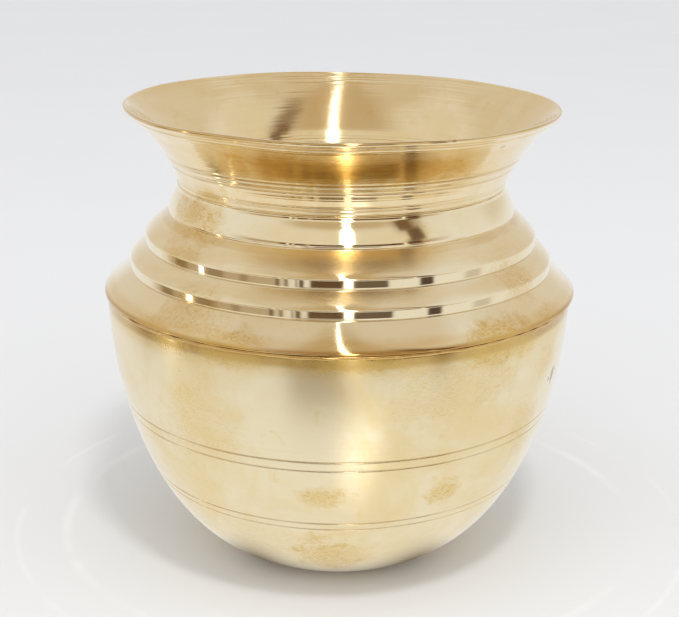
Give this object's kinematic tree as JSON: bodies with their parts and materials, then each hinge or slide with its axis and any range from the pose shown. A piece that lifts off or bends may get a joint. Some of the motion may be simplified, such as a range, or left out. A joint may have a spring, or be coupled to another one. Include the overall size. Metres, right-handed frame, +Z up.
{
  "type": "kalash pot",
  "caption": "Round-bottomed brass kalash pot: flared mouth, ribbed shoulder and deep bowl, spun from sheet and brazed into one vessel.",
  "frame": {"origin": "centre of the flat base, on the surface the pot stands on", "axes": "+Z up along the axis the pot was turned on; X and Y are interchangeable because the pot is round"},
  "size_m": [0.1208, 0.1208, 0.1184],
  "materials": {
    "mouth_brass": "polished brass with fine turning lines",
    "shoulder_brass": "mirror-polished brass with heat tint near the seams",
    "bowl_brass": "buffed brass, cloudy polish with light stains",
    "neck_filler": "brazing brass, browned by heat",
    "shoulder_filler": "brazing brass, browned by heat"
  },
  "bodies": {
    "root": {"mouth_and_neck": "mouth_brass", "ribbed_shoulder": "shoulder_brass", "lower_bowl": "bowl_brass", "neck_braze": "neck_filler", "shoulder_braze": "shoulder_filler"}
  },
  "joints": []
}
